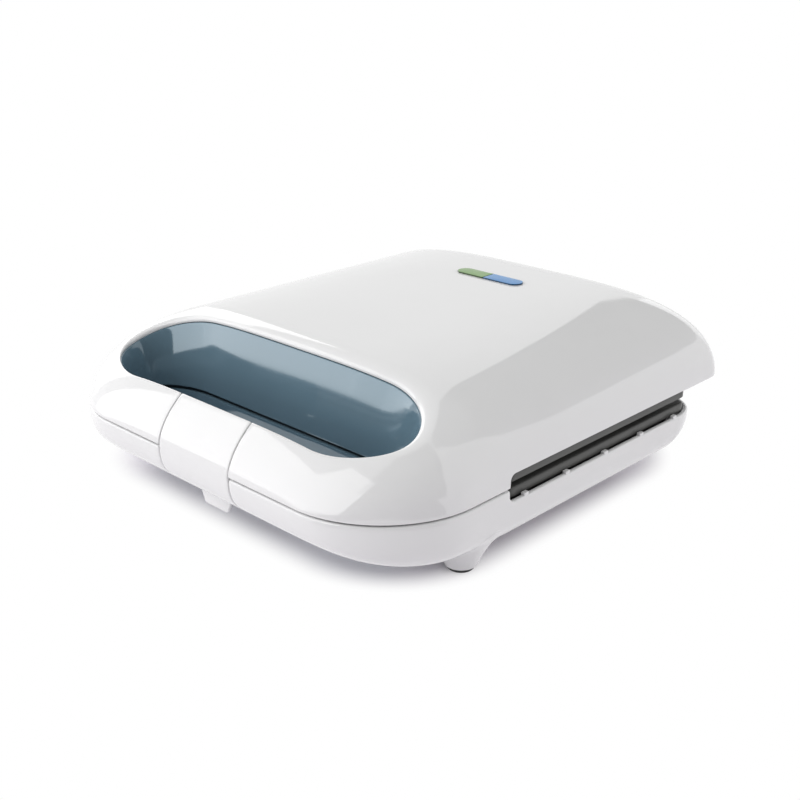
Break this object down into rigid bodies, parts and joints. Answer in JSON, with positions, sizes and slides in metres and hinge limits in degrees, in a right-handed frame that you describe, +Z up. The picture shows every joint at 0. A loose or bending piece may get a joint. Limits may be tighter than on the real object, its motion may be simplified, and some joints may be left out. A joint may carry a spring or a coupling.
{
  "type": "sandwich maker",
  "caption": "Low sandwich maker with a rounded gloss casing, a lid hinged at the back, cooking plates between the halves, a finger opening in the front handle and a pivoting front latch.",
  "frame": {"origin": "bottom centre of the whole body, on the plane that the feet stand on", "axes": "+X to the user's right, +Y from the handle to the hinge, +Z up"},
  "size_m": [0.23, 0.2516, 0.0824],
  "materials": {
    "casing_white": "white gloss moulding",
    "liner_blue_grey": "blue-grey gloss moulding",
    "non_stick": "die-cast, dark non-stick coating",
    "steel": "plated steel",
    "dark_steel": "heat-darkened steel",
    "rubber": "black moulded rubber",
    "green_lens": "clear green moulding",
    "blue_lens": "clear blue moulding",
    "ceramic": "unglazed ceramic",
    "circuit_board": "bare laminate",
    "lamp_glass": "neon lamp glass",
    "black_plastic": "black moulding"
  },
  "bodies": {
    "base": {"lower_plate": "non_stick", "lower_element": "dark_steel", "lower_reflector": "steel", "lower_left_terminal": "ceramic", "lower_right_terminal": "ceramic", "lower_plate_screw_front": "steel", "lower_plate_screw_rear": "steel", "lower_casing": "casing_white", "lower_handle_liner": "liner_blue_grey", "left_hinge_pin": "steel", "right_hinge_pin": "steel", "cord_gland": "rubber", "cord_clamp": "black_plastic", "left_clamp_screw": "steel", "right_clamp_screw": "steel", "terminal_block": "black_plastic", "front_left_foot": "rubber", "front_right_foot": "rubber", "rear_left_foot": "rubber", "rear_right_foot": "rubber"},
    "lid": {"upper_casing": "casing_white", "upper_handle_liner": "liner_blue_grey", "latch_pin": "steel", "power_lens": "green_lens", "ready_lens": "blue_lens", "lamp_board": "circuit_board", "power_lamp": "lamp_glass", "ready_lamp": "lamp_glass", "thermostat": "dark_steel", "thermal_fuse": "ceramic", "upper_plate": "non_stick", "upper_element": "dark_steel", "upper_reflector": "steel", "upper_left_terminal": "ceramic", "upper_right_terminal": "ceramic", "upper_plate_screw_front": "steel", "upper_plate_screw_rear": "steel"},
    "latch": {"latch": "casing_white"}
  },
  "joints": [
    {"name": "lid_hinge", "type": "hinge", "parent": "base", "child": "lid", "pos_m": [0, 0.105, 0.0405], "axis": [-1, 0, 0], "range_deg": [0, 100]},
    {"name": "latch_pivot", "type": "hinge", "parent": "lid", "child": "latch", "pos_m": [0, -0.1142, 0.0561], "axis": [-1, 0, 0], "range_deg": [0, 35]}
  ]
}
